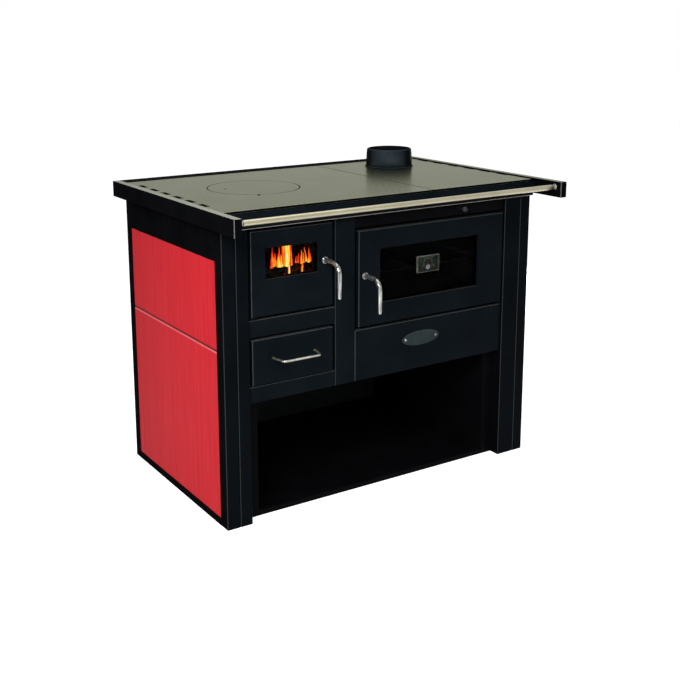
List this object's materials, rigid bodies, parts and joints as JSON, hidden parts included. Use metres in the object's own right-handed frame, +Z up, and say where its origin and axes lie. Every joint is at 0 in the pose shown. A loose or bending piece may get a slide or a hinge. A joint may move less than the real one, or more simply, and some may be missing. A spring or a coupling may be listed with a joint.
{
  "type": "wood cookstove",
  "caption": "Wood-burning cookstove with tiled sides, a firebox, an ash drawer, an oven, a steel hob with a lift-out lid, a flue collar, a towel bar and an open log store.",
  "frame": {"origin": "on the floor, under the middle of the whole stove's outer box", "axes": "+X to the right as seen from the front, +Y to the rear, +Z up"},
  "size_m": [1.078, 0.76, 0.906],
  "materials": {
    "black_paint": "satin heat-proof black paint",
    "inner_steel": "matt black steel",
    "hob_steel": "ground steel, olive grey",
    "red_tile": "red glaze with fine upright streaks",
    "chrome": "polished",
    "brushed_steel": "fine brushed stainless steel",
    "cast_iron": "blackened",
    "firebrick": "matt fireclay",
    "ceramic_glass": "dark clear ceramic glass",
    "rope_seal": "braided glass-fibre rope",
    "needle_red": "matt red paint"
  },
  "bodies": {
    "stove": {"corner_post_left": "black_paint", "corner_post_right": "black_paint", "side_panel_left": "black_paint", "side_panel_right": "black_paint", "tile_left_lower": "red_tile", "tile_left_upper": "red_tile", "tile_right_lower": "red_tile", "tile_right_upper": "red_tile", "rear_panel": "black_paint", "partition_plate": "inner_steel", "store_box": "black_paint", "inner_front": "inner_steel", "fire_hinge_rod": "chrome", "oven_hinge_rod": "chrome", "mullion": "black_paint", "drawer_sill": "black_paint", "cross_strip": "black_paint", "lower_panel": "black_paint", "oven_header": "black_paint", "oval_plate": "brushed_steel", "side_rail_left": "black_paint", "side_rail_right": "black_paint", "rear_rail": "black_paint", "front_fascia": "black_paint", "hob_plate_left": "hob_steel", "hob_plate_right": "hob_steel", "flue_collar": "cast_iron", "towel_bar": "brushed_steel", "bar_holder_left": "chrome", "bar_holder_right": "chrome", "firebrick_left": "firebrick", "firebrick_right": "firebrick", "firebrick_rear": "firebrick", "firebox_floor": "inner_steel", "grate": "cast_iron", "oven_box": "inner_steel", "oven_rack": "chrome", "smoke_box_wall": "inner_steel"},
    "ring_lid": {"ring_lid": "hob_steel"},
    "damper": {"damper_slide": "inner_steel", "damper_knob": "cast_iron"},
    "fire_door": {"fire_door_shell": "black_paint", "fire_door_liner": "inner_steel", "fire_door_glass": "ceramic_glass", "fire_door_seal": "rope_seal", "fire_rosette": "chrome"},
    "fire_lever": {"fire_lever": "chrome"},
    "oven_door": {"oven_door_shell": "black_paint", "oven_door_liner": "inner_steel", "oven_door_glass": "ceramic_glass", "oven_door_seal": "rope_seal", "oven_rosette": "chrome", "thermometer_case": "brushed_steel"},
    "oven_lever": {"oven_lever": "chrome"},
    "thermometer_needle": {"thermometer_needle": "needle_red"},
    "ash_drawer": {"ash_drawer_front": "black_paint", "ash_box": "inner_steel", "drawer_bail": "chrome"}
  },
  "joints": [
    {"name": "fire_door_swing", "type": "hinge", "parent": "stove", "child": "fire_door", "pos_m": [-0.4235, -0.249, 0.676], "axis": [0, 0, -1], "range_deg": [0, 105]},
    {"name": "fire_lever_turn", "type": "hinge", "parent": "fire_door", "child": "fire_lever", "pos_m": [-0.2065, -0.29, 0.689], "axis": [0, 1, 0], "range_deg": [0, 80]},
    {"name": "oven_door_swing", "type": "hinge", "parent": "stove", "child": "oven_door", "pos_m": [0.4085, -0.249, 0.62], "axis": [0, 0, 1], "range_deg": [0, 105]},
    {"name": "oven_lever_turn", "type": "hinge", "parent": "oven_door", "child": "oven_lever", "pos_m": [-0.0775, -0.29, 0.629], "axis": [0, -1, 0], "range_deg": [0, 80]},
    {"name": "thermometer_needle_turn", "type": "hinge", "parent": "oven_door", "child": "thermometer_needle", "pos_m": [0.1505, -0.2395, 0.632], "axis": [0, -1, 0], "range_deg": [-110, 110]},
    {"name": "ash_drawer_slide", "type": "slide", "parent": "stove", "child": "ash_drawer", "axis": [0, -1, 0], "range_m": [0, 0.36]},
    {"name": "damper_pull", "type": "slide", "parent": "stove", "child": "damper", "axis": [0, -1, 0], "range_m": [0, 0.06]},
    {"name": "ring_lid_lift", "type": "slide", "parent": "stove", "child": "ring_lid", "axis": [0, 0, 1], "range_m": [0, 0.12]}
  ]
}
